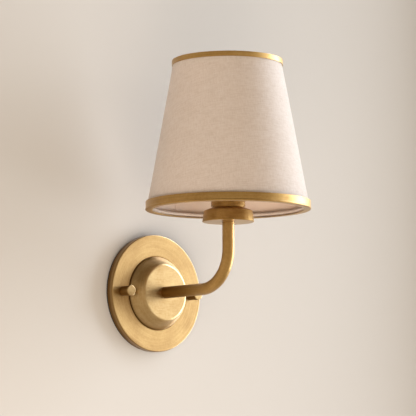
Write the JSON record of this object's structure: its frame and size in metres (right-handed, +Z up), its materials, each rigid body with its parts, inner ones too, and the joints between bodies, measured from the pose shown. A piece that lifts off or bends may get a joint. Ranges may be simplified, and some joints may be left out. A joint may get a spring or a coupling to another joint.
{
  "type": "wall sconce",
  "caption": "Wall sconce in satin brass: round backplate with a raised hub, bent arm, turned cup and a tapered linen shade with brass bands.",
  "frame": {"origin": "on the wall plane, at the middle of the crossbar's slots for the box screws and on the axis of the arm's level run", "axes": "+Y goes into the wall, so the light stands out towards -Y; +Z is up along the shade's axis; +X is to the right for someone who faces the wall"},
  "size_m": [0.165, 0.1995, 0.287],
  "materials": {
    "gasket_foam": "closed-cell foam",
    "plate_brass": "aged satin, brushed round the centre",
    "hub_brass": "aged satin, lathe lines",
    "arm_brass": "aged satin, brushed along the tube",
    "cup_brass": "aged satin, turned",
    "knob_brass": "aged satin, turned",
    "band_brass": "aged satin, brushed along the band",
    "fitter_brass": "satin",
    "socket_brass": "bright stamped sheet",
    "zinc_steel": "zinc plated",
    "ground_green": "green passivated screw",
    "bare_copper": "tinned copper tags",
    "block_plastic": "moulded, ivory",
    "wire_black": "insulation",
    "wire_white": "insulation",
    "wire_green": "insulation",
    "phenolic": "moulded, dark",
    "linen": "slubby plain weave, oatmeal",
    "liner": "thin stiff sheet, warm pinkish beige",
    "hem_linen": "rolled edge",
    "ring_wire": "drawn wire",
    "cap_metal": "rolled thread",
    "cap_glass": "black insulating glass",
    "solder": "tin",
    "bulb_glass": "clear",
    "stem_glass": "clear",
    "filament": "yellow coating"
  },
  "bodies": {
    "fixture": {"wall_gasket": "gasket_foam", "backplate": "plate_brass", "hub": "hub_brass", "hub_screws": "zinc_steel", "crossbar": "zinc_steel", "canopy_studs": "zinc_steel", "stud_nuts": "zinc_steel", "ground_screw": "ground_green", "ground_tags": "bare_copper", "ground_lead": "wire_green", "terminal_block": "block_plastic", "terminal_screws": "zinc_steel", "arm_tube": "arm_brass", "rear_nipple": "zinc_steel", "lock_washer": "zinc_steel", "rear_nut": "zinc_steel", "cup_nipple": "zinc_steel", "cup_nut": "zinc_steel", "socket_cup": "cup_brass", "lampholder_body": "phenolic", "lampholder_shell": "socket_brass", "lampholder_contact": "socket_brass", "lampholder_terminals": "socket_brass", "wire_live": "wire_black", "wire_neutral": "wire_white"},
    "knob_left": {"knob_left": "knob_brass"},
    "knob_right": {"knob_right": "knob_brass"},
    "shade": {"shade_linen": "linen", "shade_liner": "liner", "shade_top_band": "band_brass", "shade_bottom_band": "band_brass", "top_wire_ring": "ring_wire", "bottom_wire_ring": "ring_wire", "top_hem": "hem_linen", "bottom_hem": "hem_linen", "fitter_spider": "fitter_brass"},
    "shade_clamp": {"shade_clamp_ring": "fitter_brass"},
    "bulb": {"bulb_cap": "cap_metal", "bulb_insulator": "cap_glass", "bulb_contact": "solder", "bulb_glass": "bulb_glass", "bulb_stem": "stem_glass", "bulb_filaments": "filament"}
  },
  "joints": [
    {"name": "knob_left_turn", "type": "hinge", "parent": "fixture", "child": "knob_left", "pos_m": [-0.0455, -0.0165, 0], "axis": [0, 1, 0], "continuous": true},
    {"name": "knob_right_turn", "type": "hinge", "parent": "fixture", "child": "knob_right", "pos_m": [0.0455, -0.0165, 0], "axis": [0, 1, 0], "continuous": true},
    {"name": "shade_turn", "type": "hinge", "parent": "fixture", "child": "shade", "pos_m": [0, -0.117, 0.093], "axis": [0, 0, 1], "continuous": true},
    {"name": "clamp_ring_turn", "type": "hinge", "parent": "fixture", "child": "shade_clamp", "pos_m": [0, -0.117, 0.0969], "axis": [0, 0, 1], "continuous": true},
    {"name": "bulb_turn", "type": "hinge", "parent": "fixture", "child": "bulb", "pos_m": [0, -0.117, 0.1], "axis": [0, 0, 1], "continuous": true}
  ]
}
